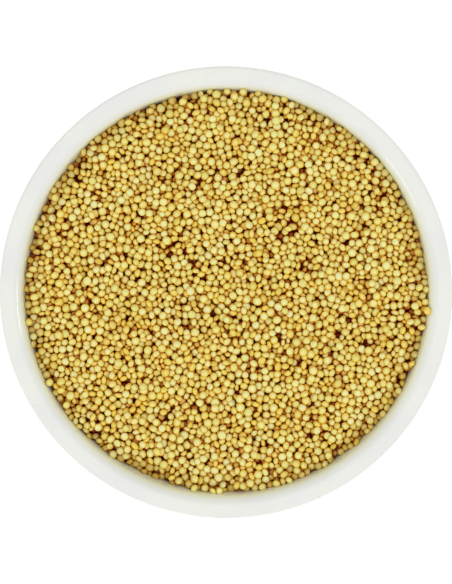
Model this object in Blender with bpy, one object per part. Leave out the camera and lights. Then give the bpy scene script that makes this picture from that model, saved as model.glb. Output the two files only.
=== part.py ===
"""A round white glazed dish, filled to just below its rim with amaranth seeds.

The dish is one turned solid: a foot ring, a rounded bowl and a flat rim with
soft edges. The heap of seeds is one solid that fills the bowl, and its top is
a field of small bumps, one for each seed that shows.

The origin is the middle of the foot ring's underside, and +Z is up.
"""

import math
import random
from collections import Counter

import bmesh
import bpy
from mathutils import Vector
from mathutils.geometry import delaunay_2d_cdt, interpolate_bezier

MM = 0.001

# ---- driving dimensions of the dish ----
DISH_DIAMETER = 80.0 * MM
DISH_HEIGHT = 34.0 * MM
RIM_OUTER_ROUND = 0.5 * MM
RIM_FLAT = 1.6 * MM
LIP_WIDTH = 1.95 * MM
LIP_DROP = 1.4 * MM
FOOT_DIAMETER = 46.0 * MM
FOOT_WIDTH = 3.0 * MM
FOOT_HEIGHT = 3.2 * MM
FOOT_ROUND = 0.5 * MM
FOOT_FLARE = 0.2 * MM
RECESS_HEIGHT = 2.2 * MM
FLOOR_HEIGHT = 6.0 * MM
WELL_RADIUS = 19.0 * MM
# Handles of the curves that the walls follow, as radius and height
OUTER_LOW_HANDLE = (33.5 * MM, 3.6 * MM)
OUTER_HIGH_HANDLE = (37.6 * MM, 20.0 * MM)
INNER_LOW_HANDLE = (31.5 * MM, 6.0 * MM)
INNER_HIGH_HANDLE = (34.4 * MM, 27.5 * MM)
DISH_SIDES = 64
WALL_STEPS = 8
EDGE_STEPS = 4
LIP_STEPS = 5
FOOT_STEPS = 2

# ---- driving dimensions of the seeds ----
SEED_LEVEL = 32.8 * MM
SEED_DOME = 0.2 * MM
SEED_SLOPE = 0.6 * MM
SWELL_HEIGHT = 0.1 * MM
SWELL_LENGTH = 21.0 * MM
SWELL_SHIFT = 0.8
SEED_SMALL = 1.0 * MM
SEED_TYPICAL = 1.3 * MM
SEED_LARGE = 1.55 * MM
SEED_SPREAD = 0.13 * MM
SEED_COUNT = 1950
SEED_NESTING = 0.90
PLACING_TRIES = 400
CREST_SCATTER = 0.20 * MM
VALLEY_DEPTH = 0.62 * MM
VALLEY_SCATTER = 0.12 * MM
SHORTEST_VALLEY = 0.8 * MM
WALL_GAP = 0.3 * MM
WALL_CLEARANCE = 0.62 * MM
GUARD_SPACING = 2.6 * MM
HEAP_SIDE_RINGS = 3
RING_CROWDING = 1.6
RING_INSET = 0.5 * MM
FEWEST_CORNERS = 4
RANDOM_SEED = 11

# Handle length with which a cubic curve follows a quarter circle
ROUND_HANDLE = 0.5523

CERAMIC_WHITE = (0.84, 0.85, 0.82, 1.0)
SEED_GOLD = (0.54, 0.37, 0.09, 1.0)


def clear_scene():
    """Remove every object that the opened file may hold."""
    for old in list(bpy.data.objects):
        bpy.data.objects.remove(old, do_unlink=True)


def make_material(name, colour, roughness, metallic=0.0):
    """A Principled material of one plain colour."""
    material = bpy.data.materials.new(name)
    material.use_nodes = True
    shader = material.node_tree.nodes["Principled BSDF"]
    shader.inputs["Base Color"].default_value = colour
    shader.inputs["Roughness"].default_value = roughness
    shader.inputs["Metallic"].default_value = metallic
    material.diffuse_color = colour
    return material


def add_object(name, mesh_builder, material):
    """Turn a finished bmesh into a named object with one material."""
    bmesh.ops.recalc_face_normals(mesh_builder, faces=mesh_builder.faces)
    mesh = bpy.data.meshes.new(name)
    mesh_builder.to_mesh(mesh)
    mesh_builder.free()
    mesh.materials.append(material)
    mesh.shade_smooth()
    mesh.set_sharp_from_angle(angle=math.radians(40))
    thing = bpy.data.objects.new(name, mesh)
    bpy.context.scene.collection.objects.link(thing)
    return thing


# ---- the dish ----

def section_point(radius, height):
    """A point of the turned section, which lies in the XZ plane."""
    return Vector((radius, 0.0, height))


def rounded_corner(start, corner, end, steps=EDGE_STEPS):
    """A quarter round from start to end that bulges towards the corner."""
    start_handle = start.lerp(corner, ROUND_HANDLE)
    end_handle = end.lerp(corner, ROUND_HANDLE)
    return interpolate_bezier(start, start_handle, end_handle, end, steps)


def outer_wall():
    """The bowl's outside, from the foot up to the rim's outer round."""
    start = section_point(FOOT_DIAMETER / 2 + FOOT_FLARE, FOOT_HEIGHT)
    low_handle = section_point(*OUTER_LOW_HANDLE)
    high_handle = section_point(*OUTER_HIGH_HANDLE)
    end = section_point(DISH_DIAMETER / 2, DISH_HEIGHT - RIM_OUTER_ROUND)
    return interpolate_bezier(start, low_handle, high_handle, end, WALL_STEPS)


def inner_wall():
    """The bowl's inside, from the floor up to the round lip."""
    start = section_point(WELL_RADIUS, FLOOR_HEIGHT)
    low_handle = section_point(*INNER_LOW_HANDLE)
    high_handle = section_point(*INNER_HIGH_HANDLE)
    end_radius = DISH_DIAMETER / 2 - RIM_OUTER_ROUND - RIM_FLAT - LIP_WIDTH
    end = section_point(end_radius, DISH_HEIGHT - LIP_DROP)
    return interpolate_bezier(start, low_handle, high_handle, end, WALL_STEPS)


def lip():
    """The wide soft round that leads from the rim's flat into the bowl."""
    wall_end = inner_wall()[-1]
    wall_handle = section_point(*INNER_HIGH_HANDLE)
    lean = (wall_end.x - wall_handle.x) / (wall_end.z - wall_handle.z)
    return rounded_corner(
        section_point(wall_end.x + LIP_WIDTH, DISH_HEIGHT),
        section_point(wall_end.x + lean * LIP_DROP, DISH_HEIGHT),
        wall_end,
        LIP_STEPS,
    )


def outer_round():
    """The small round between the bowl's outside and the rim's flat."""
    flat_outside = DISH_DIAMETER / 2 - RIM_OUTER_ROUND
    return rounded_corner(
        section_point(DISH_DIAMETER / 2, DISH_HEIGHT - RIM_OUTER_ROUND),
        section_point(DISH_DIAMETER / 2, DISH_HEIGHT),
        section_point(flat_outside, DISH_HEIGHT),
    )


def foot_section():
    """The underside: the recess inside the foot ring, and the ring's flat."""
    outside = FOOT_DIAMETER / 2
    inside = outside - FOOT_WIDTH
    flat_inside = section_point(inside + FOOT_ROUND, 0.0)
    flat_outside = section_point(outside - FOOT_ROUND, 0.0)
    side_inside = section_point(inside, FOOT_ROUND)
    side_outside = section_point(outside, FOOT_ROUND)
    points = [section_point(0.0, RECESS_HEIGHT)]
    points.append(section_point(inside - FOOT_ROUND, RECESS_HEIGHT))
    points += rounded_corner(side_inside, section_point(inside, 0.0), flat_inside, FOOT_STEPS)
    points += rounded_corner(flat_outside, section_point(outside, 0.0), side_outside, FOOT_STEPS)
    return points


def dish_section():
    """The dish's half section, from the axis below to the axis in the bowl."""
    points = foot_section()
    points += outer_wall()
    points += outer_round()[1:]
    points += lip()
    points += reversed(inner_wall()[:-1])
    points.append(section_point(0.0, FLOOR_HEIGHT))
    return points


def build_dish():
    """Turn the half section once round the axis."""
    builder = bmesh.new()
    corners = [builder.verts.new(point) for point in dish_section()]
    edges = [builder.edges.new(pair) for pair in zip(corners, corners[1:])]
    bmesh.ops.spin(
        builder,
        geom=corners + edges,
        cent=(0.0, 0.0, 0.0),
        axis=(0.0, 0.0, 1.0),
        angle=math.tau,
        steps=DISH_SIDES,
        use_merge=True,
    )
    bmesh.ops.remove_doubles(builder, verts=builder.verts, dist=0.01 * MM)
    glaze = make_material("white_glaze", CERAMIC_WHITE, roughness=0.15)
    return add_object("dish", builder, glaze)


# ---- the heap of seeds ----

def wall_radius(height):
    """The bowl's inner radius at a height, along the facets of wall and lip."""
    wall = inner_wall() + lip()[-2::-1]
    for low, high in zip(wall, wall[1:]):
        if low.z <= height <= high.z:
            share = (height - low.z) / (high.z - low.z)
            return low.x + share * (high.x - low.x)
    return wall[0].x


def heap_level(x, y):
    """The heap's mean crest height: a low dome, a slight slope and slow swells."""
    edge = wall_radius(SEED_LEVEL)
    dome = SEED_DOME * (1.0 - (x * x + y * y) / edge ** 2)
    swell = math.sin(math.tau * x / SWELL_LENGTH + SWELL_SHIFT)
    swell *= math.cos(math.tau * y / SWELL_LENGTH)
    return SEED_LEVEL + dome + SEED_SLOPE * y / edge + SWELL_HEIGHT * swell


def seed_sizes(rng):
    """Diameters of the seeds that show, the largest first."""
    sizes = []
    while len(sizes) < SEED_COUNT:
        size = rng.gauss(SEED_TYPICAL, SEED_SPREAD)
        if SEED_SMALL <= size <= SEED_LARGE:
            sizes.append(size)
    return sorted(sizes, reverse=True)


def scatter_seeds(rng, reach):
    """Random places for the seeds inside a circle, none too near another."""
    cell = SEED_LARGE
    grid = {}
    seeds = []
    for size in seed_sizes(rng):
        for _ in range(PLACING_TRIES):
            radius = reach * math.sqrt(rng.random())
            turn = math.tau * rng.random()
            x = radius * math.cos(turn)
            y = radius * math.sin(turn)
            column = math.floor(x / cell)
            row = math.floor(y / cell)
            near = [
                other
                for i in (column - 1, column, column + 1)
                for j in (row - 1, row, row + 1)
                for other in grid.get((i, j), ())
            ]
            if all(
                math.dist((x, y), other[:2]) > SEED_NESTING * (size + other[2]) / 2
                for other in near
            ):
                grid.setdefault((column, row), []).append((x, y, size))
                seeds.append((x, y, size))
                break
    return seeds


def guard_ring(radius):
    """Points just outside the wall that close the pattern of bumps."""
    count = round(math.tau * radius / GUARD_SPACING)
    turns = [math.tau * i / count for i in range(count)]
    return [Vector((radius * math.cos(turn), radius * math.sin(turn))) for turn in turns]


def valley_pattern(points, seed_total, edge_radius):
    """Where the valleys lie: one in the middle of each three neighbours.

    Returns the valleys' places, the numbers of those that lie on the wall,
    and, for each two neighbouring points, the two valleys between them.
    """
    triangles = delaunay_2d_cdt(points, [], [], 0, 0.001 * MM)[2]
    places = []
    on_wall = set()
    between = {}
    for number, triangle in enumerate(triangles):
        middle = sum((points[i] for i in triangle), Vector((0.0, 0.0))) / 3
        if max(triangle) >= seed_total:
            middle *= edge_radius / middle.length
            on_wall.add(number)
        places.append(middle)
        for a, b in zip(triangle, triangle[1:] + triangle[:1]):
            between.setdefault((min(a, b), max(a, b)), []).append(number)
    between = {pair: ends for pair, ends in between.items() if pair[0] < seed_total}
    return places, on_wall, between


def join_near_valleys(places, on_wall, between, seed_total):
    """Merge pairs of valleys that lie close together, the closest first.

    Each seed keeps at least FEWEST_CORNERS valleys round it. Returns, for each
    valley, the number of the valley that it is now part of.
    """
    corners = Counter(seed for pair in between for seed in pair)
    owner = list(range(len(places)))
    joined = set()
    links = sorted(
        ((places[a] - places[b]).length, a, b, pair)
        for pair, (a, b) in between.items()
    )
    for length, a, b, pair in links:
        if length > SHORTEST_VALLEY:
            break
        seeds = [seed for seed in pair if seed < seed_total]
        rim_link = len(seeds) == 1
        mixed = (a in on_wall) != (b in on_wall)
        across_rim = a in on_wall and b in on_wall and not rim_link
        few = any(corners[seed] <= FEWEST_CORNERS for seed in seeds)
        if a in joined or b in joined or mixed or across_rim or few:
            continue
        joined.update((a, b))
        corners.subtract(seeds)
        places[a] = (places[a] + places[b]) / 2
        owner[b] = a
    return owner


def add_bumps(builder, rng, edge_radius):
    """The heap's top: a crest for each seed, joined to the valleys round it."""
    seeds = scatter_seeds(rng, edge_radius - WALL_CLEARANCE)
    points = [Vector(seed[:2]) for seed in seeds]
    points += guard_ring(edge_radius + WALL_CLEARANCE)
    places, on_wall, between = valley_pattern(points, len(seeds), edge_radius)
    owner = join_near_valleys(places, on_wall, between, len(seeds))

    valleys = {}
    for number in sorted(set(owner)):
        x, y = places[number]
        if number in on_wall:
            x, y = edge_radius * places[number].normalized()
            height = heap_level(x, y) - VALLEY_DEPTH
        else:
            height = heap_level(x, y) - VALLEY_DEPTH
            height += rng.uniform(-VALLEY_SCATTER, VALLEY_SCATTER)
        valleys[number] = builder.verts.new((x, y, height))
    crests = []
    for x, y, size in seeds:
        lift = rng.uniform(-CREST_SCATTER, CREST_SCATTER) + (size - SEED_TYPICAL) / 2
        crests.append(builder.verts.new((x, y, heap_level(x, y) + lift)))
    for pair, ends in between.items():
        start, end = (valleys[owner[number]] for number in ends)
        if start is end:
            continue
        for seed in pair:
            if seed < len(seeds):
                builder.faces.new((crests[seed], start, end))


def close_below(builder, edge_height):
    """Rings that follow the bowl's wall, and a flat bottom over its floor."""
    loop = [edge for edge in builder.edges if edge.is_boundary]
    floor = FLOOR_HEIGHT + WALL_GAP
    for step in range(1, HEAP_SIDE_RINGS + 1):
        share = step / HEAP_SIDE_RINGS
        height = floor + (edge_height - floor) * (1.0 - share) ** RING_CROWDING
        radius = wall_radius(height) - RING_INSET
        ring = bmesh.ops.create_circle(builder, segments=DISH_SIDES, radius=radius)["verts"]
        bmesh.ops.translate(builder, verts=ring, vec=(0.0, 0.0, height))
        ring_edges = list({edge for corner in ring for edge in corner.link_edges})
        bmesh.ops.bridge_loops(builder, edges=loop + ring_edges)
        loop = ring_edges
    bmesh.ops.edgeloop_fill(builder, edges=loop)


def build_heap():
    """One solid: the bumpy top of the seeds over the shape of the bowl."""
    rng = random.Random(RANDOM_SEED)
    edge_height = SEED_LEVEL - SEED_SLOPE - SWELL_HEIGHT - VALLEY_DEPTH
    edge_radius = wall_radius(edge_height) - WALL_GAP
    builder = bmesh.new()
    add_bumps(builder, rng, edge_radius)
    close_below(builder, edge_height)
    bmesh.ops.triangulate(builder, faces=builder.faces)
    gold = make_material("seed_gold", SEED_GOLD, roughness=0.5)
    return add_object("amaranth_seeds", builder, gold)


clear_scene()
build_dish()
build_heap()
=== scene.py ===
# %% [markdown]
# # A dish of amaranth seeds
#
# This notebook dresses a small white porcelain dish that is filled almost to
# its rim with amaranth seeds. A packed model gives the frame: two plain solids,
# `dish` and `amaranth_seeds`, at their real size. Each step below makes one
# thing that the eye wants to see: the glazed wall, the bed of seeds, thousands
# of single seeds that have settled on each other, and the light over them.
#
# The first cell loads that frame. Everything after it works in metres, with
# +Z up and the middle of the dish's foot at the origin.

import math

import bmesh
import bpy
import numpy as np
from mathutils import Matrix, Vector, noise
from mathutils.geometry import interpolate_bezier
from mathutils.kdtree import KDTree


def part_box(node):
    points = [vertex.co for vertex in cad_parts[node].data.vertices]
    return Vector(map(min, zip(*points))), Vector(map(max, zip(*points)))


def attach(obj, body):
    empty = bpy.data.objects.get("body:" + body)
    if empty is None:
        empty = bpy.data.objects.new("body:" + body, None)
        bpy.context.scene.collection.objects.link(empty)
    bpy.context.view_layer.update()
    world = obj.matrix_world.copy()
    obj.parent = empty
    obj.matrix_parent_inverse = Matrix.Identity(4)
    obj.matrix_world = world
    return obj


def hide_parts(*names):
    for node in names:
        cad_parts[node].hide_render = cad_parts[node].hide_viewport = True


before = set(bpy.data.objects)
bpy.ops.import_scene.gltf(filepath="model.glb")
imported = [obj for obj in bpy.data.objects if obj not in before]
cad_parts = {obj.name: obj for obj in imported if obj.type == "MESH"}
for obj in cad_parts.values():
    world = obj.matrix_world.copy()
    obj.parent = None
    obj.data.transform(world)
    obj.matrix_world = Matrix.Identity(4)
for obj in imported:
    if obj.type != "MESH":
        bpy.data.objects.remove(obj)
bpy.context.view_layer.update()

MM = 0.001
scene = bpy.context.scene
dish_low, dish_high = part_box("dish")
heap_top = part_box("amaranth_seeds")[1].z
dish_radius = (dish_high.x - dish_low.x) / 2
dish_height = dish_high.z
print("dish", round(2 * dish_radius / MM, 2), "mm wide,", round(dish_height / MM, 2), "mm high")
print("seeds reach", round(heap_top / MM, 2), "mm above the table")

# %% [markdown]
# ## The camera
#
# The dish is seen from almost straight above, and it fills the picture from
# side to side. A real camera on a copy stand gives that view: a long lens, far
# enough away that the walls of the dish hardly lean outwards. The dish was not
# quite under the lens, so the camera stands a little to one side and looks at
# the middle of the rim.
#
# The focal length comes from similar triangles: the sensor's height is to the
# focal length as the height of the picture at the rim is to the distance. A
# camera that looks straight down has no natural upright, so its three
# directions are worked out one from the other, with +Y as the picture's top.

# %% Place the camera
PICTURE_HEIGHT = 584
CAMERA_HEIGHT = 600 * MM
CAMERA_SIDESTEP = Vector((12 * MM, 30 * MM, 0.0))
AIM = Vector((0.06 * MM, 0.19 * MM, 0.0))
DISH_PIXELS = 453.1
SENSOR = 36.0

pixel = 2 * dish_radius / DISH_PIXELS
aim = AIM + Vector((0.0, 0.0, dish_height))
eye = aim + CAMERA_SIDESTEP + Vector((0.0, 0.0, CAMERA_HEIGHT))
back = (eye - aim).normalized()
right = Vector((0.0, 1.0, 0.0)).cross(back).normalized()

lens = bpy.data.cameras.new("camera")
lens.sensor_fit = "VERTICAL"
lens.sensor_height = SENSOR
lens.lens = SENSOR * (eye - aim).length / (PICTURE_HEIGHT * pixel)
lens.clip_start = 10 * MM
lens.clip_end = 10.0
camera = bpy.data.objects.new("camera", lens)
camera.location = eye
camera.rotation_euler = Matrix((right, back.cross(right), back)).transposed().to_euler()
scene.collection.objects.link(camera)
scene.camera = camera
print("one pixel is", round(pixel / MM, 4), "mm, and the lens is", round(lens.lens, 1), "mm")

# %% [markdown]
# ## Shader maths as plain Python
#
# A finish is a small network of nodes, and wiring it by hand hides what it
# does. The class `Wire` wraps the output of a node, so that `1 - mask` or
# `speckle * 0.2 + 0.5` adds the Math nodes by itself.

# %% Maths with wires
class Wire:
    """The output of a node, which adds Math nodes when it is calculated with."""

    def __init__(self, finish, socket):
        self.finish = finish
        self.socket = socket

    def maths(self, operation, first, second):
        settings = {"operation": operation}
        return self.finish.node("ShaderNodeMath", settings, {0: first, 1: second})

    def __add__(self, other):
        return self.maths("ADD", self, other)

    def __radd__(self, other):
        return self.maths("ADD", other, self)

    def __sub__(self, other):
        return self.maths("SUBTRACT", self, other)

    def __rsub__(self, other):
        return self.maths("SUBTRACT", other, self)

    def __mul__(self, other):
        return self.maths("MULTIPLY", self, other)

    def __rmul__(self, other):
        return self.maths("MULTIPLY", other, self)


print("a wire adds, subtracts and multiplies")

# %% [markdown]
# ## One class for every finish
#
# `Finish` is one material on a Principled shader, which suits glaze and seeds
# alike. Its `node` method adds any other node, with its settings first and its
# sockets' values or wires after them. The other methods are the nodes that the
# finishes below share: a place on the piece, noise, a soft threshold, a colour
# ramp, a value stored on the points, a mix of two colours, and a bump.

# %% Finishes
class Finish:
    """One procedural material, built on a Principled shader."""

    def __init__(self, name, **constants):
        self.material = bpy.data.materials.new(name)
        self.material.use_nodes = True
        self.tree = self.material.node_tree
        self.shader = self.tree.nodes["Principled BSDF"]
        for socket, value in constants.items():
            self.shader.inputs[socket.replace("_", " ")].default_value = value

    def node(self, kind, settings=None, inputs=None, output=0):
        made = self.tree.nodes.new(kind)
        for name, value in (settings or {}).items():
            setattr(made, name, value)
        for name, value in (inputs or {}).items():
            self.connect(made.inputs[name], value)
        return Wire(self, made.outputs[output])

    def connect(self, socket, value):
        if isinstance(value, Wire):
            self.tree.links.new(value.socket, socket)
        else:
            socket.default_value = value

    def drive(self, **wires):
        for socket, wire in wires.items():
            self.connect(self.shader.inputs[socket.replace("_", " ")], wire)

    def place(self):
        return self.node("ShaderNodeTexCoord", output="Object")

    def axis(self, place, letter):
        return self.node("ShaderNodeSeparateXYZ", inputs={0: place}, output=letter)

    def speckle(self, place, grain, detail=2.0):
        values = {"Vector": place, "Scale": 1.0 / grain, "Detail": detail}
        return self.node("ShaderNodeTexNoise", inputs=values)

    def band(self, value, low, high):
        values = {"Value": value, "From Min": low, "From Max": high}
        settings = {"interpolation_type": "SMOOTHSTEP"}
        return self.node("ShaderNodeMapRange", settings, values)

    def ramp(self, value, stops):
        made = self.node("ShaderNodeValToRGB", inputs={0: value})
        elements = made.socket.node.color_ramp.elements
        for number, (position, colour) in enumerate(stops):
            stop = elements[number] if number < 2 else elements.new(position)
            stop.position = position
            stop.color = colour
        return made

    def attribute(self, name):
        return self.node("ShaderNodeAttribute", {"attribute_name": name}, output="Fac")

    def blend(self, share, first, second, way="MIX"):
        settings = {"data_type": "RGBA", "blend_type": way}
        made = self.node("ShaderNodeMix", settings, output=2)
        inputs = made.socket.node.inputs
        for number, value in ((0, share), (6, first), (7, second)):
            self.connect(inputs[number], value)
        return made

    def bump(self, height, distance):
        values = {"Strength": 1.0, "Distance": distance, "Height": height}
        return self.node("ShaderNodeBump", inputs=values)


print("a finish knows", sum(not name.startswith("_") for name in vars(Finish)), "methods")

# %% [markdown]
# ## Colours and pieces
#
# Shaders reckon in linear light, but a colour is easier to judge as a screen
# shows it. One function turns the second into the first. Another makes a
# finished bmesh a smooth object in the scene.

# %% Colours and pieces
def rgb(red, green, blue):
    """A screen colour, 0 to 255, as the linear colour that shaders use."""
    def linear(value):
        share = value / 255
        return share / 12.92 if share <= 0.04045 else ((share + 0.055) / 1.055) ** 2.4
    return (linear(red), linear(green), linear(blue), 1.0)


def add_piece(name, builder, finish):
    """Make a finished bmesh a smooth object that wears this finish."""
    mesh = bpy.data.meshes.new(name)
    builder.to_mesh(mesh)
    builder.free()
    mesh.materials.append(finish.material)
    mesh.shade_smooth()
    piece = bpy.data.objects.new(name, mesh)
    scene.collection.objects.link(piece)
    print(name, "has", len(mesh.polygons), "faces")
    return piece


print("half-bright on a screen is", round(rgb(128, 128, 128)[0], 2), "in linear light")

# %% [markdown]
# ## The porcelain dish
#
# A small porcelain dish is turned on a wheel or pressed in a turned mould, so
# its true form is half a section that runs once round the axis. Blender can
# turn a profile with a Screw modifier or with the spin operator. The spin
# operator is used here, because it leaves a plain mesh whose poles can be
# closed at once.
#
# A few radii and heights say all about that section. The same ones shape the
# plain solid in the frame, so the fine dish lies exactly over it.

# %% Sizes of the dish
RIM_OUTER_ROUND = 0.5 * MM
RIM_FLAT = 1.6 * MM
LIP_WIDTH = 1.95 * MM
LIP_DROP = 1.4 * MM
FOOT_RADIUS = 23.0 * MM
FOOT_WIDTH = 3.0 * MM
FOOT_HEIGHT = 3.2 * MM
FOOT_ROUND = 0.5 * MM
FOOT_FLARE = 0.2 * MM
RECESS_HEIGHT = 2.2 * MM
FLOOR_HEIGHT = 6.0 * MM
WELL_RADIUS = 19.0 * MM
# Handles of the walls' curves, as radius and height
OUTER_LOW_HANDLE = (33.5 * MM, 3.6 * MM)
OUTER_HIGH_HANDLE = (37.6 * MM, 20.0 * MM)
INNER_LOW_HANDLE = (31.5 * MM, 6.0 * MM)
INNER_HIGH_HANDLE = (34.4 * MM, 27.5 * MM)
# Handle length with which a cubic curve follows a quarter circle
ROUND_HANDLE = 0.5523
WALL_POINTS = 33
ROUND_POINTS = 7
LIP_POINTS = 13

flat_outside = dish_radius - RIM_OUTER_ROUND
flat_inside = flat_outside - RIM_FLAT
foot_inside = FOOT_RADIUS - FOOT_WIDTH
print("the lip starts", round(flat_inside / MM, 2), "mm from the middle")

# %% [markdown]
# ## Half a section from curves
#
# The walls follow two cubic curves, and quarter rounds soften the edges of the
# rim and of the foot ring. The lip is one more such round, wide and soft, which
# runs on into the wall without a kink. The section goes from the middle of the
# underside over the foot, up the outside, over the rim and down to the floor.

# %% The section
def at(radius, height):
    """A point of the half section, which lies in the XZ plane."""
    return Vector((radius, 0.0, height))


def rounded(start, corner, end, points=ROUND_POINTS):
    """A quarter round from start to end that bulges towards the corner."""
    start_handle = start.lerp(corner, ROUND_HANDLE)
    end_handle = end.lerp(corner, ROUND_HANDLE)
    return interpolate_bezier(start, start_handle, end_handle, end, points)


outside = interpolate_bezier(
    at(FOOT_RADIUS + FOOT_FLARE, FOOT_HEIGHT),
    at(*OUTER_LOW_HANDLE),
    at(*OUTER_HIGH_HANDLE),
    at(dish_radius, dish_height - RIM_OUTER_ROUND),
    WALL_POINTS,
)
inside = interpolate_bezier(
    at(WELL_RADIUS, FLOOR_HEIGHT),
    at(*INNER_LOW_HANDLE),
    at(*INNER_HIGH_HANDLE),
    at(flat_inside - LIP_WIDTH, dish_height - LIP_DROP),
    WALL_POINTS,
)
wall_end = inside[-1]
wall_handle = at(*INNER_HIGH_HANDLE)
lean = (wall_end.x - wall_handle.x) / (wall_end.z - wall_handle.z)
lip_corner = at(wall_end.x + lean * LIP_DROP, dish_height)
lip = rounded(at(flat_inside, dish_height), lip_corner, wall_end, LIP_POINTS)
recess_round = 2 * FOOT_ROUND
section = [at(0.0, RECESS_HEIGHT)]
section += rounded(
    at(foot_inside - recess_round, RECESS_HEIGHT),
    at(foot_inside, RECESS_HEIGHT),
    at(foot_inside, RECESS_HEIGHT - recess_round),
)
section += rounded(
    at(foot_inside, FOOT_ROUND), at(foot_inside, 0.0), at(foot_inside + FOOT_ROUND, 0.0)
)
section += rounded(
    at(FOOT_RADIUS - FOOT_ROUND, 0.0), at(FOOT_RADIUS, 0.0), at(FOOT_RADIUS, FOOT_ROUND)
)
section += rounded(
    at(FOOT_RADIUS, FOOT_HEIGHT - FOOT_ROUND),
    at(FOOT_RADIUS, FOOT_HEIGHT),
    outside[1],
)
section += outside[2:]
section += rounded(
    outside[-1], at(dish_radius, dish_height), at(flat_outside, dish_height)
)[1:]
section += lip + inside[-2::-1]
section.append(at(0.0, FLOOR_HEIGHT))
print("the half section has", len(section), "points")

# %% [markdown]
# ## White glaze and a bare foot
#
# Porcelain wears a clear glaze over a white body. Close up the glaze is never
# quite even: it swells and thins in slow waves, it pools a little here and
# there, and the odd speck shows through. The foot ring is wiped clean before the
# firing, so the dish does not stick to the kiln shelf, and stays matte and a
# little sandy. One material holds both, and a smooth band just above the table
# parts them.
#
# Light that bounces off the seeds turns a white wall a faint gold on the lip,
# deepest at the seeds. The renderer finds most of it by itself, and a painted
# reflection, a tint by radius high inside the bowl only, adds the rest.

# %% Make the glaze
GLAZE_WHITE = rgb(230, 231, 227)
GLAZE_POOLED = rgb(233, 235, 227)
BARE_FOOT = rgb(226, 221, 208)
SPECK = rgb(196, 186, 164)
# Painted reflection: the glaze colour is multiplied by this beside the seeds, for light bounced off
# them
PAINTED_SEED_REFLECTION = (1.0, 1.0, 0.78, 1.0)
REFLECTION_WIDTH = 1.1 * MM
INSIDE_HEIGHTS = (27 * MM, 29 * MM)
# The height over which the bare foot gives way to the glaze
GLAZE_START = (0.35 * MM, 0.75 * MM)
# How far apart the noises' bumps lie
WAVE_SIZE = 9 * MM
RIPPLE_SIZE = 0.5 * MM
GRIT_SIZE = 0.16 * MM
SPECK_SIZE = 0.6 * MM
# Shares of the noises at which pooling and specks begin and are full
POOLING = (0.35, 0.7)
SPECKS = (0.83, 0.87)
SPECK_STRENGTH = 0.3
SAND_STRENGTH = 0.5
GLAZE_ROUGHNESS = 0.08
FOOT_ROUGHNESS = 0.68
RIPPLE_ROUGHNESS = 0.06
# How high the glaze swells, and what part of that each noise has
RELIEF_HEIGHT = 0.05 * MM
WAVE_SHARE = 0.6
RIPPLE_SHARE = 0.02
GRIT_SHARE = 0.05


def make_glaze():
    glaze = Finish("white_glaze", IOR=1.5, Coat_Weight=0.0)
    place = glaze.place()
    height = glaze.axis(place, "Z")
    waves = glaze.speckle(place, WAVE_SIZE, detail=1.0)
    ripples = glaze.speckle(place, RIPPLE_SIZE, detail=3.0)
    grit = glaze.speckle(place, GRIT_SIZE)
    specks = glaze.band(glaze.speckle(place, SPECK_SIZE, detail=0.0), *SPECKS)
    glazed = glaze.band(height, *GLAZE_START)
    colour = glaze.blend(glaze.band(waves, *POOLING), GLAZE_WHITE, GLAZE_POOLED)
    colour = glaze.blend(specks * SPECK_STRENGTH, colour, SPECK)
    # Painted reflection of the seeds, high inside the bowl and nearest to them
    x, y = glaze.axis(place, "X"), glaze.axis(place, "Y")
    start = inside[-1].x
    away_from_seeds = glaze.band(x * x + y * y, start ** 2, (start + REFLECTION_WIDTH) ** 2)
    beside_seeds = glaze.band(height, *INSIDE_HEIGHTS) * (1 - away_from_seeds)
    colour = glaze.blend(beside_seeds, colour, PAINTED_SEED_REFLECTION, "MULTIPLY")
    sandy = glaze.blend(grit * SAND_STRENGTH, BARE_FOOT, SPECK)
    colour = glaze.blend(glazed, sandy, colour)
    smoother = ripples * RIPPLE_ROUGHNESS - (FOOT_ROUGHNESS - GLAZE_ROUGHNESS)
    roughness = glazed * smoother + FOOT_ROUGHNESS
    swells = waves * WAVE_SHARE + ripples * RIPPLE_SHARE
    relief = glazed * swells + (1 - glazed) * grit * GRIT_SHARE
    normal = glaze.bump(relief, RELIEF_HEIGHT)
    glaze.drive(Base_Color=colour, Roughness=roughness, Normal=normal)
    return glaze


white_glaze = make_glaze()
print("the glaze is made of", len(white_glaze.tree.nodes), "nodes")

# %% [markdown]
# ## Turn the section
#
# The spin operator copies the chain of edges round the axis and joins each copy
# to the last one with faces. Both ends of the chain lie on the axis, so their
# copies fall in one place, and `remove_doubles` makes each of them one point.

# %% Turn the dish
TURN_STEPS = 192
MERGE_DISTANCE = 0.002 * MM


def turn_section(points, steps):
    """A bmesh solid that is this half section, turned once round the axis."""
    builder = bmesh.new()
    corners = [builder.verts.new(point) for point in points]
    edges = [builder.edges.new(pair) for pair in zip(corners, corners[1:])]
    bmesh.ops.spin(
        builder,
        geom=corners + edges,
        cent=(0.0, 0.0, 0.0),
        axis=(0.0, 0.0, 1.0),
        angle=math.tau,
        steps=steps,
        use_merge=True,
    )
    bmesh.ops.remove_doubles(builder, verts=builder.verts, dist=MERGE_DISTANCE)
    bmesh.ops.recalc_face_normals(builder, faces=builder.faces)
    return builder


porcelain_dish = add_piece("porcelain_dish", turn_section(section, TURN_STEPS), white_glaze)
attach(porcelain_dish, "root")
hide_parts("dish")

# %% [markdown]
# ## Where the seeds may lie
#
# The seeds fill the dish to a little over 1 mm below its rim. Their top is
# nearly flat: a touch higher in the middle and at the far side, and a touch
# lower along the wall. Most of that heap can never be seen, so only its top few
# layers are made of real seeds. They lie on a bed, a solid with the bowl's own
# shape.
#
# Two small functions say where the limits are: how wide the bowl is at a
# height, and how high the heap stands at a place. The first is a table of the
# curves of wall and lip, which `numpy.interp` reads for thousands of seeds at
# once. A second table says how much the wall leans, because a round seed keeps
# its middle further from a leaning wall than from an upright one.

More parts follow.
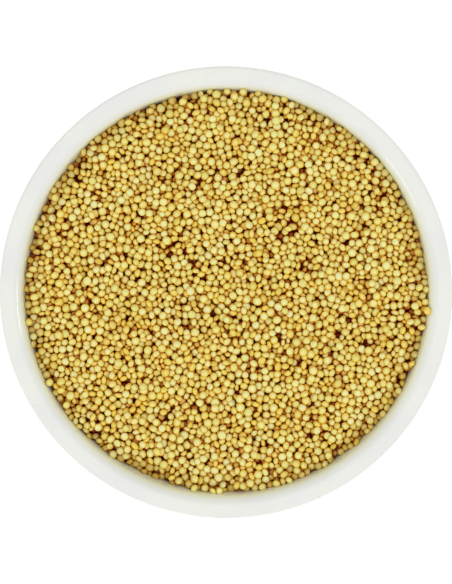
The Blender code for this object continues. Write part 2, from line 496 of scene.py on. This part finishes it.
# %% Bowl and heap limits
SEED_LEVEL = 32.8 * MM
SEED_DOME = 0.1 * MM
SEED_SLOPE = 0.6 * MM
EDGE_DROP = 0.05 * MM
EDGE_DROP_WIDTH = 2.5 * MM
SEED_BED_DEPTH = 2.7 * MM
BED_GAP = 0.15 * MM

bowl = inside + lip[-2:0:-1]
wall_heights = np.array([point.z for point in bowl])
wall_radii = np.array([point.x for point in bowl])
wall_stretch = np.hypot(1.0, np.gradient(wall_radii, wall_heights))


def bowl_radius(height):
    return np.interp(height, wall_heights, wall_radii)


seed_radius = float(bowl_radius(SEED_LEVEL))


def heap_height(x, y):
    radius = np.hypot(x, y)
    dome = SEED_DOME * (1 - (radius / seed_radius) ** 2)
    at_wall = np.clip((radius - seed_radius) / EDGE_DROP_WIDTH + 1, 0, 1)
    return SEED_LEVEL + dome + SEED_SLOPE * y / seed_radius - EDGE_DROP * at_wall ** 2


print("the seeds meet the wall", round(seed_radius / MM, 2), "mm from the middle")

# %% [markdown]
# ## The bed under the seeds
#
# The bed shows only as the dark bottom of the deepest gaps, and its dark brown is
# painted shade: the seeds it stands for are as pale as the others, but little
# light reaches that deep. It is a spun solid like the dish, with close rings
# across its top. A cell noise raises and lowers the points of the top, so that it
# has rounded bumps of the seeds' own size: what lies deeper than the eye can
# follow is relief, not single seeds.

# %% Turn the bed
BED_RINGS = 64
BED_STEPS = 224
BED_BUMP = 0.45 * MM
BED_BUMP_SIZE = 1.25 * MM
BED_GRAIN = 0.8 * MM
BED_MOTTLE = (0.35, 0.65)
BED_RELIEF = 0.1 * MM
# Painted shade: the bed's dark browns stand in for unlit seeds deeper down
BED_SHADE_BROWN = rgb(120, 66, 22)
BED_SHADE_DARK = rgb(70, 30, 8)
# How far below the bed's top a point may lie and still count as part of it
TOP_TOLERANCE = 0.01 * MM


def bed_top(radius):
    return heap_height(radius, 0.0) - SEED_BED_DEPTH


def make_bed_finish():
    finish = Finish("seed_bed_painted_shade", Roughness=0.7)
    place = finish.place()
    grains = finish.speckle(place, BED_GRAIN)
    colour = finish.blend(finish.band(grains, *BED_MOTTLE), BED_SHADE_DARK, BED_SHADE_BROWN)
    finish.drive(Base_Color=colour, Normal=finish.bump(grains, BED_RELIEF))
    return finish


def bed_section():
    """From the bed's lowest middle up along the wall and in across its top."""
    edge_height = bed_top(seed_radius)
    wall = [at(point.x - BED_GAP, point.z + BED_GAP) for point in inside]
    points = [at(0.0, wall[0].z)] + [point for point in wall if point.z < edge_height]
    edge = float(bowl_radius(edge_height)) - BED_GAP
    for ring in range(BED_RINGS, -1, -1):
        radius = edge * ring / BED_RINGS
        points.append(at(radius, bed_top(radius)))
    return points


builder = turn_section(bed_section(), BED_STEPS)
for corner in builder.verts:
    radius = math.hypot(corner.co.x, corner.co.y)
    if corner.co.z > bed_top(radius) - TOP_TOLERANCE:
        nearest = noise.voronoi(corner.co / BED_BUMP_SIZE)[0][0]
        corner.co.z = heap_height(corner.co.x, corner.co.y) - SEED_BED_DEPTH
        corner.co.z += BED_BUMP * (0.5 - min(nearest, 1.0) ** 2)
seed_bed = add_piece("seed_bed", builder, make_bed_finish())
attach(seed_bed, "root")
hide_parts("amaranth_seeds")

# %% [markdown]
# ## Settle the seeds
#
# Loose seeds find their own places: they fall, push each other aside and come
# to rest on the ones below. Blender's rigid bodies could do that, but thousands
# of them take minutes. The same idea in arrays takes seconds. All seeds start
# scattered through a deep layer, and in each round every seed
#
# 1. sinks a little,
# 2. is pushed away from each neighbour that it overlaps, and
# 3. is put back inside the bowl and above the bed.
#
# This cell draws the seeds: their sizes, how they lean, and where they start.
# An amaranth seed is a thick lens, about two thirds as thick as it is wide.
# About a tenth of the seeds are poured last: they start above the others and
# come to rest on top of them, so that the heap has hills of one seed's height
# and deep gaps between them.

# %% Draw the seeds
RANDOM_START = 20
SEED_TOTAL = 7000
LOOSE_SEEDS = 660
MEAN_RADIUS = 0.67 * MM
RADIUS_SPREAD = 0.065 * MM
RADIUS_LIMITS = (0.5 * MM, 0.78 * MM)
THICKNESS_LIMITS = (0.55, 0.75)
TILT_SPREAD = math.radians(62)
START_DEPTH = 4.4 * MM

random = np.random.default_rng(RANDOM_START)
wide = np.clip(random.normal(MEAN_RADIUS, RADIUS_SPREAD, SEED_TOTAL), *RADIUS_LIMITS)
thick = wide * random.uniform(*THICKNESS_LIMITS, SEED_TOTAL)
tilt = np.abs(random.normal(0.0, TILT_SPREAD, SEED_TOTAL))
turn = random.uniform(0.0, math.tau, SEED_TOTAL)
axes = np.stack([np.sin(tilt) * np.cos(turn), np.sin(tilt) * np.sin(turn), np.cos(tilt)], 1)


def scatter_start():
    """Seeds at random places in a deep layer over the bed."""
    radius = (seed_radius - MEAN_RADIUS) * np.sqrt(random.random(SEED_TOTAL))
    turn = random.uniform(0.0, math.tau, SEED_TOTAL)
    x = radius * np.cos(turn)
    y = radius * np.sin(turn)
    z = heap_height(x, y) - SEED_BED_DEPTH + START_DEPTH * random.random(SEED_TOTAL)
    z[:LOOSE_SEEDS] += START_DEPTH
    return np.stack([x, y, z], 1)


print("the seeds are", round(2 * wide.min() / MM, 2), "to", round(2 * wide.max() / MM, 2), "mm wide")

# %% [markdown]
# ## Who touches whom
#
# Most pairs of seeds are far apart, so a tree of places finds the near ones, and
# only those are looked at. How far a seed reaches in a direction depends on its
# tilt, so the reach of both seeds along the line between them decides whether
# they touch. Along a slanting line the skin of a lens ends before the plane that
# is square to the line and touches the lens. The mean of the two is a fair
# guess at where another seed stops.

# %% Measure the reach
def near_pairs(places, reach):
    """All pairs of seeds whose middles are nearer than reach."""
    tree = KDTree(len(places))
    for number, place in enumerate(places):
        tree.insert(place, number)
    tree.balance()
    firsts = []
    seconds = []
    for number, place in enumerate(places):
        for _, other, _ in tree.find_range(place, reach):
            if other > number:
                firsts.append(number)
                seconds.append(other)
    return np.array(firsts), np.array(seconds)


def reach_along(directions, numbers):
    """How far these seeds reach from their middles along the directions."""
    along = np.sum(directions * axes[numbers], axis=1) ** 2
    across = 1 - along
    flat, high = wide[numbers], thick[numbers]
    plane = np.sqrt(high ** 2 * along + flat ** 2 * across)
    ray = 1 / np.sqrt(along / high ** 2 + across / flat ** 2)
    return (plane + ray) / 2


everyone = np.arange(SEED_TOTAL)
upright = np.tile((0.0, 0.0, 1.0), (SEED_TOTAL, 1))
half_height = reach_along(upright, everyone)
print("a seed lies", round(2 * half_height.mean() / MM, 2), "mm high on average")

# %% [markdown]
# ## Let them settle
#
# A weak lid keeps the top level, as after a few taps on the dish. The seeds
# poured last have a higher lid. At the wall a seed may press a little into the
# porcelain, so that no thin dark line is left between them. The seeds sink more
# slowly from round to round, and not at all in the last ones, which only push
# them apart under the lid.

# %% Settle
LID_HEIGHT = 0.35 * MM
LOOSE_LID_HEIGHT = 1.2 * MM
LID_STRENGTH = 0.05
ROUNDS = 170
ROUNDS_PER_SEARCH = 6
SEARCH_REACH = 2.2 * RADIUS_LIMITS[1]
FALL_STEP = 0.05 * MM
# Above 1, the fall ends before the rounds do
FALL_FADE = 1.15
WALL_PRESS = 0.16 * MM
PUSH_SHARE = 0.45
# Added to distances in metres, so that none is zero
TINY = 1e-9

lid_height = np.where(everyone < LOOSE_SEEDS, LOOSE_LID_HEIGHT, LID_HEIGHT)


def stay_in_bowl(places):
    """Put seeds back above the bed and inside the wall."""
    heap = heap_height(places[:, 0], places[:, 1])
    places[:, 2] = np.maximum(places[:, 2], heap - SEED_BED_DEPTH + half_height)
    radius = np.hypot(places[:, 0], places[:, 1])
    outward = np.stack([places[:, 0] / radius, places[:, 1] / radius, 0 * radius], 1)
    stretch = np.interp(places[:, 2], wall_heights, wall_stretch)
    reach = (reach_along(outward, everyone) - WALL_PRESS) * stretch
    limit = bowl_radius(places[:, 2]) - reach
    places[:, :2] *= np.minimum(1.0, limit / radius)[:, None]


def settle(places):
    for round_number in range(ROUNDS):
        if round_number % ROUNDS_PER_SEARCH == 0:
            first, second = near_pairs(places, SEARCH_REACH)
        progress = round_number / ROUNDS
        places[:, 2] -= FALL_STEP * max(0.0, 1 - FALL_FADE * progress)
        between = places[second] - places[first]
        distance = np.linalg.norm(between, axis=1) + TINY
        between /= distance[:, None]
        overlap = reach_along(between, first) + reach_along(between, second) - distance
        push = between * (np.maximum(overlap, 0.0) * PUSH_SHARE / 2)[:, None]
        for k in range(3):
            places[:, k] += np.bincount(second, push[:, k], SEED_TOTAL)
            places[:, k] -= np.bincount(first, push[:, k], SEED_TOTAL)
        lid = heap_height(places[:, 0], places[:, 1]) + lid_height - half_height
        places[:, 2] -= LID_STRENGTH * np.maximum(places[:, 2] - lid, 0.0)
        stay_in_bowl(places)
    print("mean overlap", round(overlap[overlap > 0].mean() / MM, 3), "mm")
    return places


places = settle(scatter_start())
above = places[:, 2] + half_height - heap_height(places[:, 0], places[:, 1])
print("the highest seeds stand", round(np.percentile(above, 99) / MM, 2), "mm above the level")

# %% [markdown]
# ## Which seeds can be seen
#
# How deep a seed lies in the heap decides how much painted shade its colour gets,
# which stands in for light that has lost its blue and green to the seeds above
# before it reaches it. How deep is measured against the seeds around it: the
# mean of the three highest tops within reach is the local surface. Deep seeds get
# a plainer shape too. A second search lists the nearest neighbours of each seed,
# which later tell how much of the sky each point of it can see, for more painted
# shade. Balls of the seeds' own volume stand in for the neighbours there.

# %% Measure the depths
SURFACE_REACH = 1.4 * MM
SURFACE_SEEDS = 3
FINE_DEPTH = 1.2 * MM
NEIGHBOURS = 14

tops = places[:, 2] + half_height
flat_tree = KDTree(SEED_TOTAL)
for number, place in enumerate(places):
    flat_tree.insert((place[0], place[1], 0.0), number)
flat_tree.balance()
surface = np.empty(SEED_TOTAL)
for number, place in enumerate(places):
    found = flat_tree.find_range((place[0], place[1], 0.0), SURFACE_REACH)
    near = np.array([other for _, other, _ in found])
    surface[number] = np.sort(tops[near])[-SURFACE_SEEDS:].mean()
fine = surface - tops < FINE_DEPTH

close_tree = KDTree(SEED_TOTAL)
for number, place in enumerate(places):
    close_tree.insert(place, number)
close_tree.balance()
neighbours = np.empty((SEED_TOTAL, NEIGHBOURS), int)
for number, place in enumerate(places):
    found = close_tree.find_n(place, NEIGHBOURS + 1)
    neighbours[number] = [other for _, other, _ in found if other != number][:NEIGHBOURS]
ball_radius = (wide ** 2 * thick) ** (1 / 3)
print(int(fine.sum()), "seeds lie near the top, and", int((~fine).sum()), "below them")

# %% [markdown]
# ## The shape of one seed
#
# An amaranth seed is a round lens with a blunt edge, and a small notch where
# its root tip ends. It starts as a coarse ball from the `create_uvsphere`
# operator. Its rings are pulled out a little, which blunts the edge, and the
# points at one side are pushed in for the notch. It turns into a lens later,
# when it is scaled to the thickness of its seed. With sixty faces each at most,
# seven thousand seeds stay light, and smooth shading hides the flats.
#
# Four variants differ in outline, as no two seeds are alike.

# %% Shape the seeds
FINE_SEGMENTS = 12
FINE_RINGS = 5
PLAIN_SEGMENTS = 8
PLAIN_RINGS = 4
EDGE_BLUNTNESS = 0.95
NOTCH_DEPTH = 0.10
NOTCH_WIDTH = 0.45
OUTLINE_WAVE = 0.035
VARIANTS = 4
# Points nearer to the axis than this are the poles, which stay in place
POLE_RADIUS = 0.01


def seed_shape(segments, rings, variant):
    """A seed one unit in radius and in half thickness, ready to be scaled."""
    builder = bmesh.new()
    bmesh.ops.create_uvsphere(builder, u_segments=segments, v_segments=rings, radius=1.0)
    for corner in builder.verts:
        radius = math.hypot(corner.co.x, corner.co.y)
        if radius < POLE_RADIUS:
            continue
        angle = math.atan2(corner.co.y, corner.co.x)
        swelling = radius ** EDGE_BLUNTNESS / radius
        wave = 1 + OUTLINE_WAVE * math.sin(2 * angle + variant) * math.cos(angle - variant)
        notch = 1 - NOTCH_DEPTH * math.exp(-((angle / NOTCH_WIDTH) ** 2)) * radius
        corner.co.x *= swelling * wave * notch
        corner.co.y *= swelling * wave * notch
    widest = max(math.hypot(corner.co.x, corner.co.y) for corner in builder.verts)
    bmesh.ops.scale(builder, verts=builder.verts, vec=(1 / widest, 1 / widest, 1.0))
    bmesh.ops.rotate(
        builder,
        verts=builder.verts,
        cent=(0.0, 0.0, 0.0),
        matrix=Matrix.Rotation(variant, 3, "Z"),
    )
    return builder


def shape_arrays(builder):
    """The points of a small bmesh, and its faces as lists of point numbers."""
    builder.verts.index_update()
    points = np.array([corner.co for corner in builder.verts])
    faces = [[corner.index for corner in face.verts] for face in builder.faces]
    builder.free()
    return points, faces


fine_shapes = [shape_arrays(seed_shape(FINE_SEGMENTS, FINE_RINGS, v)) for v in range(VARIANTS)]
plain_shapes = [shape_arrays(seed_shape(PLAIN_SEGMENTS, PLAIN_RINGS, v)) for v in range(VARIANTS)]
print("a fine seed has", len(fine_shapes[0][1]), "faces, a plain one", len(plain_shapes[0][1]))

# %% [markdown]
# ## Colours of the seeds
#
# A heap of amaranth is pale straw yellow with golden edges, and each seed has
# its own tone. The middle of a seed is starchy and nearly cream. Its edge is
# the curled germ, glassy and golden. So the colour runs from a heart colour to
# an edge colour with the distance from the seed's axis, and the mix shifts a
# little with the tone of the single seed. The side that faces up is painted
# paler too, and the sides that face away more golden: painted light, for light
# from above that sinks into the starch there. Five kinds share the heap: pale,
# straw, golden, dull and amber ones. A little subsurface scattering softens
# them.
#
# Yellow in a shader turns olive when it is only darkened. Three tints of painted
# shade stop that, and each is multiplied in by its own measure: a ramp for the
# depth in the heap and the cover of the neighbours, which ends in red-brown, a
# warm painted shade where seeds crowd each other, and a brown painted shade low
# down by the wall of the dish.

# %% Seed finishes
SEED_KINDS = {
    "pale": {"share": 0.30, "heart": rgb(235, 236, 172), "edge": rgb(240, 215, 90)},
    "straw": {"share": 0.29, "heart": rgb(235, 234, 160), "edge": rgb(239, 212, 84)},
    "golden": {"share": 0.24, "heart": rgb(234, 231, 150), "edge": rgb(237, 208, 78)},
    "dull": {"share": 0.13, "heart": rgb(230, 226, 140), "edge": rgb(229, 200, 74)},
    "amber": {"share": 0.04, "heart": rgb(230, 220, 130), "edge": rgb(228, 193, 68)},
}
# Painted shade, from the top of the heap down: where a tint is reached, and the tint
PAINTED_SHADE_TINTS = (
    (0.1, (1.0, 1.0, 1.0, 1.0)),
    (0.35, (0.96, 0.79, 0.45, 1.0)),
    (0.6, (0.62, 0.245, 0.06, 1.0)),
    (0.85, (0.27, 0.01, 0.002, 1.0)),
)
# Painted shade where seeds crowd each other
CROWD_SHADE_TINT = (1.0, 0.76, 0.58, 1.0)
# Painted shade low down by the wall of the dish
WALL_SHADE_TINT = (0.58, 0.42, 0.20, 1.0)
MOTTLE_SIZE = 0.35 * MM
SKIN_GRAIN = 0.12 * MM
SKIN_RELIEF = 0.02 * MM
# From its heart colour to its edge colour, and what shifts that in one seed
EDGE_START = 0.3
TONE_SHIFT = 0.3
MOTTLE_SHIFT = 0.4
SEED_ROUGHNESS = 0.42
MOTTLE_ROUGHNESS = 0.12


def make_seed_finish(kind):
    finish = Finish(
        "seed_" + kind,
        IOR=1.45,
        Specular_IOR_Level=0.3,
        Subsurface_Weight=0.25,
        Subsurface_Radius=(1.0, 0.6, 0.3),
        Subsurface_Scale=0.45 * MM,
    )
    heart, edge = SEED_KINDS[kind]["heart"], SEED_KINDS[kind]["edge"]
    tone = finish.attribute("tone")
    rim = finish.attribute("rim")
    depth = finish.attribute("depth")
    mottle = finish.speckle(finish.place(), MOTTLE_SIZE)
    # The "rim" value is the seed's own heart-to-edge colour mixed with painted top light
    towards_edge = rim + (tone - 0.5) * TONE_SHIFT + (mottle - 0.5) * MOTTLE_SHIFT
    colour = finish.blend(finish.band(towards_edge, EDGE_START, 1.0), heart, edge)
    # Painted shade: darker and redder where a point lies deep or covered
    colour = finish.blend(1.0, colour, finish.ramp(depth, PAINTED_SHADE_TINTS), "MULTIPLY")
    # Painted shade: warmer and darker where seeds crowd each other
    colour = finish.blend(finish.attribute("crowd"), colour, CROWD_SHADE_TINT, "MULTIPLY")
    # Painted shade: browner low down by the wall; the "wall" value holds its strength
    colour = finish.blend(finish.attribute("wall"), colour, WALL_SHADE_TINT, "MULTIPLY")
    skin = finish.speckle(finish.place(), SKIN_GRAIN, detail=1.0)
    normal = finish.bump(skin, SKIN_RELIEF)
    roughness = SEED_ROUGHNESS + MOTTLE_ROUGHNESS * mottle
    finish.drive(Base_Color=colour, Roughness=roughness, Normal=normal)
    return finish


seed_finishes = {kind: make_seed_finish(kind) for kind in SEED_KINDS}
print("seed finishes:", ", ".join(seed_finishes))

# %% [markdown]
# ## Scale, turn and move the seeds
#
# One object per seed would make a slow scene, and instances would be lost in an
# export, so the seeds of one kind are joined in one mesh. Arrays make that
# quick: the points of a variant are scaled, turned and moved for all its seeds
# in one go. Each seed is drawn a little plumper than it was while it settled,
# so that neighbours press together softly instead of touching in a point.
#
# A small map gives each seed its own tile, so that its colours can be baked
# into a picture.

# %% Place the points of the seeds
PLUMPNESS = 1.04
TILE_MARGIN = 0.08
# From this share of X in a seed's axis on, its sides are found with the help of
# +Y and no longer of +X, because the two directions must not be nearly the same
NEARLY_X = 0.7


def turned_frames(numbers):
    """For each seed three directions: two in its plane, and its axis."""
    spin = random.uniform(0.0, math.tau, len(numbers))
    axis = axes[numbers]
    helper = np.where(np.abs(axis[:, :1]) < NEARLY_X, (1.0, 0.0, 0.0), (0.0, 1.0, 0.0))
    side = np.cross(helper, axis)
    side /= np.linalg.norm(side, axis=1)[:, None]
    other = np.cross(axis, side)
    cosine, sine = np.cos(spin)[:, None], np.sin(spin)[:, None]
    return cosine * side + sine * other, cosine * other - sine * side, axis


def place_shape(points, seeds):
    """The points of one variant at each of these seeds, and their normals."""
    frames = np.stack(turned_frames(seeds), 1)
    size = np.stack([wide[seeds], wide[seeds], thick[seeds]], 1) * PLUMPNESS
    placed = np.einsum("pk,sk,skc->spc", points, size, frames)
    placed += places[seeds][:, None, :]
    normals = np.einsum("pk,sk,skc->spc", points, 1 / size, frames)
    normals /= np.linalg.norm(normals, axis=2)[:, :, None]
    return placed, normals


def tile_map(points, numbers, columns):
    """Where each seed's points fall in its own square tile of the map."""
    height = np.clip(points[:, 2], -1.0, 1.0)
    spread = np.arccos(height) / math.pi * (0.5 - TILE_MARGIN)
    angle = np.arctan2(points[:, 1], points[:, 0])
    local = np.stack([0.5 + spread * np.cos(angle), 0.5 + spread * np.sin(angle)], 1)
    corner = np.stack([numbers % columns, numbers // columns], 1)
    return (corner[:, None, :] + local[None, :, :]) / columns


print("each seed is drawn", PLUMPNESS, "times as wide as it settled")

# %% [markdown]
# ## What each point of a seed knows
#
# The finish needs five values at each point: the tone of its seed, how near it
# is to the seed's edge and how much it faces sideways, how deep and covered it
# lies, how crowded it is, and how close to the wall. All but the tone carry
# painted light or shade, the second one only in part. The renderer finds much of
# such shade by itself. Between real seeds light also passes through thin skins
# and turns warmer as it fades. That part is measured here, and the finish paints
# it into the colour as shade.

# %% Measure the points
# Below the local surface, where the painted shade by depth begins and where it is full
DEPTH_START = 0.5 * MM
DEPTH_FULL = 1.8 * MM
# How far the edge colour follows where a point faces, and not where it lies:
# painted top light, paler where a point faces up
PAINTED_TOP_LIGHT_SHARE = 0.6
# What a neighbour that lies level with a point still covers of its sky
LEVEL_COVER = 0.1
# The painted shade by the wall: how strong, how far in, up to where, over what
# height, and how much more at the lower left
WALL_SHADE = 0.95
WALL_SHADE_WIDTH = 3.8 * MM
WALL_SHADE_TOP = 0.25 * MM
WALL_SHADE_DROP = 1.0 * MM
WALL_SHADE_LEAN = 0.2


def covered(placed, normals, seeds):
    """How much the seeds round its own cover each point, and how they crowd it: measures for painted
    shade.
    """
    share = np.zeros(placed.shape[:2])
    crowd = np.zeros(placed.shape[:2])
    for column in range(NEIGHBOURS):
        other = neighbours[seeds, column]
        toward = places[other][:, None, :] - placed
        distance = np.linalg.norm(toward, axis=2)
        facing = np.maximum(np.sum(normals * toward, axis=2) / distance, 0.0)
        size = np.minimum(ball_radius[other][:, None] / distance, 1.0) ** 2
        above = np.clip(LEVEL_COVER + toward[:, :, 2] / distance, 0.0, 1.0)
        share += facing * size * above
        crowd += facing * size
    return np.minimum(share, 1.0), np.minimum(crowd, 1.0)


def wall_shade(placed):
    """How much painted shade darkens points low down by the wall, most at the lower left."""
    across, along = placed[:, :, 0], placed[:, :, 1]
    closeness = np.clip(1 - (seed_radius - np.hypot(across, along)) / WALL_SHADE_WIDTH, 0, 1)
    lean = 1 - WALL_SHADE_LEAN * (across + along) / seed_radius
    drop = heap_height(across, along) + WALL_SHADE_TOP - placed[:, :, 2]
    low = np.clip(drop / WALL_SHADE_DROP, 0, 1)
    return np.minimum(WALL_SHADE * closeness * lean * low, 1.0)


def point_values(points, placed, normals, seeds, tones):
    """The five values of each point, in rows of one seed each."""
    # Painted shade by depth, joined with the cover of the neighbours
    below = surface[seeds][:, None] - placed[:, :, 2]
    depth = np.clip((below - DEPTH_START) / (DEPTH_FULL - DEPTH_START), 0, 1)
    lost, crowd = covered(placed, normals, seeds)
    # The "rim" value mixes the distance from the seed's axis with painted top light by facing
    rim = np.hypot(points[:, 0], points[:, 1])
    sideways = np.sqrt(1 - np.clip(normals[:, :, 2], 0, 1) ** 2)
    return {
        "tone": np.repeat(tones, len(points)),
        "rim": rim + PAINTED_TOP_LIGHT_SHARE * (sideways - rim),
        "depth": 1 - (1 - depth) * (1 - lost),
        "crowd": crowd,
        "wall": wall_shade(placed),
    }


print("a point is as dark as it gets", round(DEPTH_FULL / MM, 2), "mm below the seeds around it")

# %% [markdown]
# ## Join the seeds of one kind
#
# A variant's faces are lists of point numbers. For the next seed the same lists
# serve with every number raised by the points that came before. So one mesh of
# thousands of seeds is a few long arrays, which `foreach_set` hands to Blender
# at once.

# %% Join the seeds
def build_mesh(name, points, corners, sizes, maps, values):
    """A mesh of these points, with faces as runs of corners of these sizes."""
    mesh = bpy.data.meshes.new(name)
    mesh.vertices.add(len(points))
    mesh.vertices.foreach_set("co", points.ravel())
    mesh.loops.add(len(corners))
    mesh.loops.foreach_set("vertex_index", corners)
    mesh.polygons.add(len(sizes))
    mesh.polygons.foreach_set("loop_start", np.cumsum(sizes) - sizes)
    mesh.update(calc_edges=True)
    for label, numbers in values.items():
        attribute = mesh.attributes.new(label, "FLOAT", "POINT")
        attribute.data.foreach_set("value", numbers)
    tiles = mesh.uv_layers.new(name="OFBake")
    tiles.uv.foreach_set("vector", maps[corners].ravel())
    return mesh


def join_seeds(name, numbers, shapes, finish):
    """One piece of all these seeds, each a scaled and turned variant."""
    columns = math.ceil(math.sqrt(len(numbers)))
    variant_of = random.integers(0, len(shapes), len(numbers))
    tones = random.random(len(numbers))
    all_points, all_maps, all_corners, all_sizes, all_values = [], [], [], [], []
    start = 0
    for variant, (points, faces) in enumerate(shapes):
        chosen = np.flatnonzero(variant_of == variant)
        seeds = numbers[chosen]
        placed, normals = place_shape(points, seeds)
        all_points.append(placed.reshape(-1, 3))
        all_maps.append(tile_map(points, chosen, columns).reshape(-1, 2))
        shift = start + np.arange(len(seeds)) * len(points)
        all_corners.append((shift[:, None] + np.concatenate(faces)[None, :]).ravel())
        all_sizes.append(np.tile([len(face) for face in faces], len(seeds)))
        all_values.append(point_values(points, placed, normals, seeds, tones[chosen]))
        start += len(seeds) * len(points)
    sizes = np.concatenate(all_sizes)
    values = {
        label: np.concatenate([part[label].ravel() for part in all_values])
        for label in all_values[0]
    }
    mesh = build_mesh(
        name,
        np.concatenate(all_points),
        np.concatenate(all_corners),
        sizes,
        np.concatenate(all_maps),
        values,
    )
    mesh.materials.append(finish.material)
    mesh.shade_smooth()
    mesh.validate()
    piece = bpy.data.objects.new(name, mesh)
    scene.collection.objects.link(piece)
    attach(piece, "root")
    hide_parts("amaranth_seeds")
    print(name, len(numbers), "seeds,", int((sizes - 2).sum()), "triangles")


# %% Lay the seeds
kinds = list(SEED_KINDS)
shares = [SEED_KINDS[kind]["share"] for kind in kinds]
kind_of = random.choice(len(kinds), SEED_TOTAL, p=shares)
for index, kind in enumerate(kinds):
    top_seeds = np.flatnonzero(fine & (kind_of == index))
    join_seeds(kind + "_seeds", top_seeds, fine_shapes, seed_finishes[kind])
lower_seeds = np.flatnonzero(~fine)
join_seeds("lower_seeds", lower_seeds, plain_shapes, seed_finishes["golden"])

# %% [markdown]
# ## Table and light
#
# The dish stands on plain white and is lit softly from above, so it throws
# almost no shadow. A white world gives the even light of a light tent, about a
# third darker towards +Y, so that the wall at the bottom of the picture, which
# faces that way, lies in a faint shade. A large lamp overhead adds to it, and
# two small ones at the sides draw thin bright lines on the glazed lip. The table
# glows besides reflecting, as one that is lit from below does: from above it is
# pure white, and seen from the side the dish still stands on a soft shadow.

# %% Table
TABLE_SIZE = 3.0
TABLE_GREY = (0.3, 0.3, 0.3, 1.0)
TABLE_GLOW = 0.8
WHITE = (1.0, 1.0, 1.0, 1.0)


def make_table_finish():
    return Finish(
        "white_table",
        Base_Color=TABLE_GREY,
        Roughness=0.9,
        Emission_Color=WHITE,
        Emission_Strength=TABLE_GLOW,
    )


builder = bmesh.new()
bmesh.ops.create_grid(builder, x_segments=1, y_segments=1, size=TABLE_SIZE / 2)
table = add_piece("table", builder, make_table_finish())

# %% Light
WORLD_STRENGTH = 0.905
DARK_SIDE = 0.68
LAMP_DISTANCE = 1200 * MM
# Each lamp's size, its compass angle, its height as an angle, and its power
LAMPS = {
    "right_lamp": (260 * MM, 0, 38, 0.9),
    "left_lamp": (260 * MM, 215, 38, 0.9),
    "top_lamp": (800 * MM, 0, 90, 1.3),
}

world = bpy.data.worlds.new("light_tent")
world.use_nodes = True
sky = world.node_tree.nodes
direction = sky.new("ShaderNodeTexCoord")
parts = sky.new("ShaderNodeSeparateXYZ")
fade = sky.new("ShaderNodeMapRange")
fade.interpolation_type = "SMOOTHSTEP"
fade.inputs["From Max"].default_value = 1.0
fade.inputs["To Min"].default_value = WORLD_STRENGTH
fade.inputs["To Max"].default_value = WORLD_STRENGTH * DARK_SIDE
world.node_tree.links.new(direction.outputs["Generated"], parts.inputs[0])
world.node_tree.links.new(parts.outputs["Y"], fade.inputs["Value"])
world.node_tree.links.new(fade.outputs["Result"], sky["Background"].inputs["Strength"])
sky["Background"].inputs["Color"].default_value = WHITE
scene.world = world


def add_lamp(name, size, compass, height, power):
    """A square lamp that looks at the dish from this compass angle and height."""
    data = bpy.data.lights.new(name, "AREA")
    data.shape = "SQUARE"
    data.size = size
    data.energy = power
    lamp = bpy.data.objects.new(name, data)
    turn = Matrix.Rotation(math.radians(compass), 3, "Z")
    lift = Matrix.Rotation(math.radians(-height), 3, "Y")
    lamp.location = turn @ lift @ Vector((LAMP_DISTANCE, 0.0, 0.0))
    lamp.rotation_euler = (-lamp.location).to_track_quat("-Z", "Y").to_euler()
    scene.collection.objects.link(lamp)


for name, values in LAMPS.items():
    add_lamp(name, *values)
print("the light is a world of", WORLD_STRENGTH, "and", len(LAMPS), "lamps")

scene.view_settings.view_transform = "Standard"
scene.view_settings.look = "None"

# %% [markdown]
